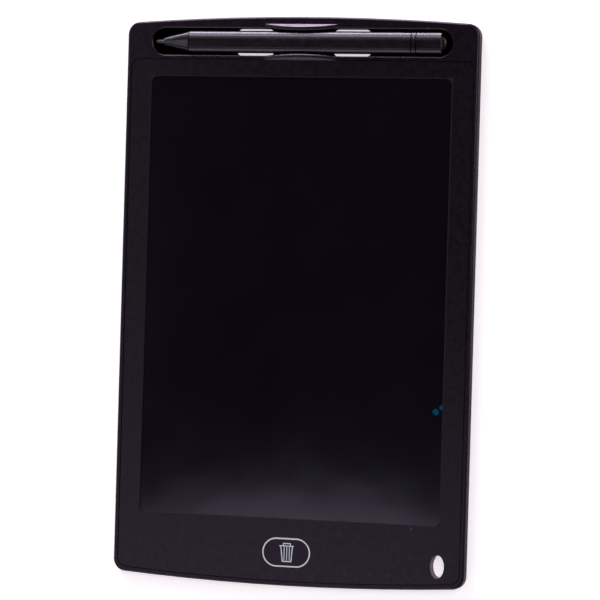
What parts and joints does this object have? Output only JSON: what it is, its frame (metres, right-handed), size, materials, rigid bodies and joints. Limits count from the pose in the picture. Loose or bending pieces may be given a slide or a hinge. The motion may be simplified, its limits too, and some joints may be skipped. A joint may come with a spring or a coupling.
{
  "type": "lcd writing tablet",
  "caption": "Slim LCD writing tablet with bowed ends, an erase key under the screen, a lanyard hole, and a flat stylus clipped in a slot along the top edge.",
  "frame": {"origin": "centre of the flat back face, on the surface that the tablet lies on", "axes": "+X to the right across the face, +Y up the face towards the stylus slot, +Z out of the screen"},
  "size_m": [0.145, 0.225, 0.006],
  "materials": {
    "case_plastic": "fine moulded texture, satin black",
    "plate_plastic": "fine matte black sheet",
    "screen_film": "glossy black writing film",
    "screen_back": "black coated film",
    "tape": "black double-sided tape",
    "flex_film": "amber printed ribbon",
    "key_plastic": "satin black",
    "board": "green solder mask",
    "chip_plastic": "moulded black",
    "tinned_metal": "tinned",
    "ferrite": "dark ferrite",
    "copper_winding": "enamelled copper",
    "capacitor_ceramic": "tan ceramic",
    "resistor_ceramic": "black glazed",
    "switch_plastic": "black moulded",
    "spring_steel": "bright sheet",
    "cell_steel": "nickel-plated, satin",
    "gasket_plastic": "moulded",
    "electrode": "pressed powder",
    "screw_steel": "black zinc",
    "stylus_plastic": "satin black",
    "nib_plastic": "satin dark grey",
    "plug_plastic": "glossy black"
  },
  "bodies": {
    "tablet": {"back_cover": "case_plastic", "front_frame": "case_plastic", "front_plate": "plate_plastic", "front_plate_tape": "tape", "lcd_top_film": "screen_film", "lcd_crystal_layer": "screen_film", "lcd_bottom_film": "screen_back", "lcd_tape": "tape", "lcd_flex_tail": "flex_film", "erase_switch_base": "switch_plastic", "erase_switch_cover": "spring_steel", "erase_switch_dome": "spring_steel", "circuit_board": "board", "driver_chip": "chip_plastic", "driver_chip_leads": "tinned_metal", "boost_inductor_core": "ferrite", "boost_inductor_winding": "copper_winding", "smd_capacitors": "capacitor_ceramic", "smd_resistors": "resistor_ceramic", "rectifier_diodes": "chip_plastic", "lock_switch_base": "switch_plastic", "lock_switch_shell": "spring_steel", "cell_can": "cell_steel", "cell_gasket": "gasket_plastic", "cell_cap": "cell_steel", "cell_pellet": "electrode", "contact_positive": "spring_steel", "contact_negative": "spring_steel"},
    "erase_key": {"erase_key": "key_plastic", "erase_switch_stem": "switch_plastic"},
    "lock_knob": {"lock_knob": "case_plastic", "lock_switch_lever": "switch_plastic"},
    "battery_door": {"battery_door": "case_plastic", "battery_door_screw": "screw_steel"},
    "stylus": {"stylus_nib": "nib_plastic", "stylus_nose_cone": "stylus_plastic", "stylus_barrel": "stylus_plastic", "stylus_ring": "stylus_plastic", "stylus_end_cap": "stylus_plastic", "stylus_end_plug": "plug_plastic"}
  },
  "joints": [
    {"name": "erase_key_press", "type": "slide", "parent": "tablet", "child": "erase_key", "axis": [0, 0, -1], "range_m": [0, 0.0003], "stiffness_N_per_m": 5000, "deforming": ["erase_switch_dome"]},
    {"name": "lock_slide", "type": "slide", "parent": "tablet", "child": "lock_knob", "axis": [0, 1, 0], "range_m": [0, 0.002]},
    {"name": "battery_door_swing", "type": "hinge", "parent": "tablet", "child": "battery_door", "pos_m": [-0.05153, -0.09815, 0], "axis": [0, 1, 0], "range_deg": [0, 75]},
    {"name": "stylus_lift", "type": "slide", "parent": "tablet", "child": "stylus", "axis": [0, 0, 1], "range_m": [0, 0.03]}
  ]
}
